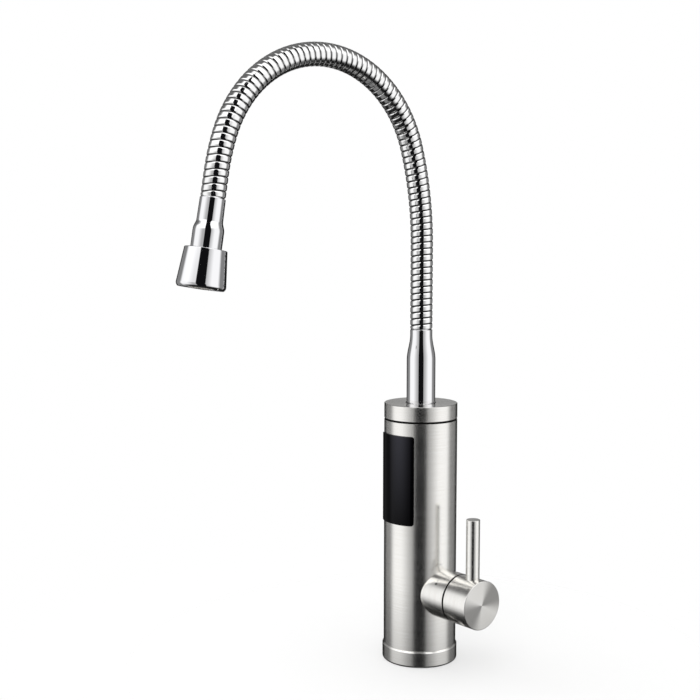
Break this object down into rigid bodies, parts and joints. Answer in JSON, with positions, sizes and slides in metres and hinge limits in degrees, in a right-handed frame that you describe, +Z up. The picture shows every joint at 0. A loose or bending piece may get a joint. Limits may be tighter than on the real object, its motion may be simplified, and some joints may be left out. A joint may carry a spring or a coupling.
{
  "type": "electric instant water heater tap",
  "caption": "Deck tap with a round steel column that heats the water, a side lever, a black display panel and a bendable ribbed gooseneck spout.",
  "frame": {"origin": "centre of the column on its underside, where it stands on the sink's deck", "axes": "+Z up along the column; -Y forward, where the display panel and the spout face; +X towards the side handle"},
  "size_m": [0.1038, 0.26, 0.4962],
  "materials": {
    "brushed_stainless": "satin",
    "hose_steel": "polished",
    "polished_chrome": "polished",
    "gloss_black_pane": "gloss",
    "display_glass": "gloss",
    "black_polymer": "matte",
    "white_polymer": "matte",
    "water_hose": "matte",
    "zinc_casting": "matte",
    "brass": "satin",
    "rubber_seal": "matte",
    "alumina_ceramic": "satin",
    "circuit_board": "satin",
    "fastener_steel": "satin",
    "element_sheath": "satin",
    "wire_insulation": "satin"
  },
  "bodies": {
    "column": {"base_ring": "brushed_stainless", "base_seal": "rubber_seal", "base_plate": "zinc_casting", "inlet_connector": "brass", "cable_gland": "black_polymer", "tie_rods": "fastener_steel", "tie_rod_nuts": "fastener_steel", "power_board": "circuit_board", "power_relay": "black_polymer", "terminal_block": "white_polymer", "valve_body": "brass", "valve_housing": "brushed_stainless", "cartridge_seal": "rubber_seal", "ceramic_fixed_disc": "alumina_ceramic", "cartridge_case": "white_polymer", "cartridge_nut": "brass", "flow_switch_housing": "white_polymer", "heater_tank": "white_polymer", "tank_seal": "rubber_seal", "tank_lid": "white_polymer", "heating_element": "element_sheath", "element_leads": "wire_insulation", "temperature_probe": "fastener_steel", "thermal_cutout": "white_polymer", "control_board": "circuit_board", "board_carrier": "white_polymer", "board_screws": "fastener_steel", "display_module": "display_glass", "display_panel": "gloss_black_pane", "body_shell": "brushed_stainless", "seam_seal": "rubber_seal", "top_cap": "brushed_stainless", "outlet_manifold": "brass", "spout_bearing": "black_polymer"},
    "handle": {"handle_knob": "brushed_stainless", "lever": "brushed_stainless", "grub_screw": "fastener_steel", "cartridge_stem": "brass", "ceramic_moving_disc": "alumina_ceramic"},
    "float": {"flow_float": "black_polymer"},
    "spout": {"spout_tail": "brass", "spout_o_rings": "rubber_seal", "retaining_clip": "fastener_steel", "neck_base": "polished_chrome", "inner_tube": "water_hose", "hose_segment_01": "hose_steel"},
    "hose_02": {"hose_segment_02": "hose_steel"},
    "hose_03": {"hose_segment_03": "hose_steel"},
    "hose_04": {"hose_segment_04": "hose_steel"},
    "hose_05": {"hose_segment_05": "hose_steel"},
    "hose_06": {"hose_segment_06": "hose_steel"},
    "hose_07": {"hose_segment_07": "hose_steel"},
    "hose_08": {"hose_segment_08": "hose_steel"},
    "hose_09": {"hose_segment_09": "hose_steel"},
    "head": {"hose_segment_10": "hose_steel", "head_sleeve": "polished_chrome"},
    "outlet": {"outlet_bell": "polished_chrome", "spray_plate": "black_polymer", "aerator_cartridge": "white_polymer", "aerator_screen": "fastener_steel"}
  },
  "joints": [
    {"name": "handle_turn", "type": "hinge", "parent": "column", "child": "handle", "pos_m": [0.062, 0, 0.0608], "axis": [1, 0, 0], "range_deg": [-90, 90]},
    {"name": "float_rise", "type": "slide", "parent": "column", "child": "float", "axis": [0, 0, 1], "range_m": [0, 0.0036]},
    {"name": "spout_swivel", "type": "hinge", "parent": "column", "child": "spout", "pos_m": [0, 0, 0.2137], "axis": [0, 0, 1], "continuous": true},
    {"name": "neck_lower_bend", "type": "hinge", "parent": "spout", "child": "hose_02", "pos_m": [0, 0, 0.32601], "axis": [1, 0, 0], "range_deg": [-6, 6], "deforming": ["inner_tube"]},
    {"name": "neck_joint_2", "type": "hinge", "parent": "hose_02", "child": "hose_03", "pos_m": [0, -0.001, 0.36679], "axis": [1, 0, 0], "range_deg": [-6, 6], "deforming": ["inner_tube"]},
    {"name": "neck_joint_3", "type": "hinge", "parent": "hose_03", "child": "hose_04", "pos_m": [0, -0.00775, 0.40699], "axis": [1, 0, 0], "range_deg": [-6, 6], "deforming": ["inner_tube"]},
    {"name": "neck_joint_4", "type": "hinge", "parent": "hose_04", "child": "hose_05", "pos_m": [0, -0.02277, 0.4447], "axis": [1, 0, 0], "range_deg": [-6, 6], "deforming": ["inner_tube"]},
    {"name": "neck_upper_bend", "type": "hinge", "parent": "hose_05", "child": "hose_06", "pos_m": [0, -0.0517, 0.47302], "axis": [1, 0, 0], "range_deg": [-6, 6], "deforming": ["inner_tube"]},
    {"name": "neck_joint_6", "type": "hinge", "parent": "hose_06", "child": "hose_07", "pos_m": [0, -0.08986, 0.48652], "axis": [1, 0, 0], "range_deg": [-6, 6], "deforming": ["inner_tube"]},
    {"name": "neck_joint_7", "type": "hinge", "parent": "hose_07", "child": "hose_08", "pos_m": [0, -0.13017, 0.48268], "axis": [1, 0, 0], "range_deg": [-6, 6], "deforming": ["inner_tube"]},
    {"name": "neck_joint_8", "type": "hinge", "parent": "hose_08", "child": "hose_09", "pos_m": [0, -0.16509, 0.46221], "axis": [1, 0, 0], "range_deg": [-6, 6], "deforming": ["inner_tube"]},
    {"name": "neck_joint_9", "type": "hinge", "parent": "hose_09", "child": "head", "pos_m": [0, -0.18814, 0.42892], "axis": [1, 0, 0], "range_deg": [-6, 6], "deforming": ["inner_tube"]},
    {"name": "bell_slide", "type": "slide", "parent": "head", "child": "outlet", "axis": [0, -0.1736, -0.9848], "range_m": [0, 0.004]}
  ],
  "couplings": [
    {"joint": "neck_joint_2", "follows": "neck_lower_bend", "ratio": 1},
    {"joint": "neck_joint_3", "follows": "neck_lower_bend", "ratio": 1},
    {"joint": "neck_joint_4", "follows": "neck_lower_bend", "ratio": 1},
    {"joint": "neck_joint_6", "follows": "neck_upper_bend", "ratio": 1},
    {"joint": "neck_joint_7", "follows": "neck_upper_bend", "ratio": 1},
    {"joint": "neck_joint_8", "follows": "neck_upper_bend", "ratio": 1},
    {"joint": "neck_joint_9", "follows": "neck_upper_bend", "ratio": 1}
  ]
}
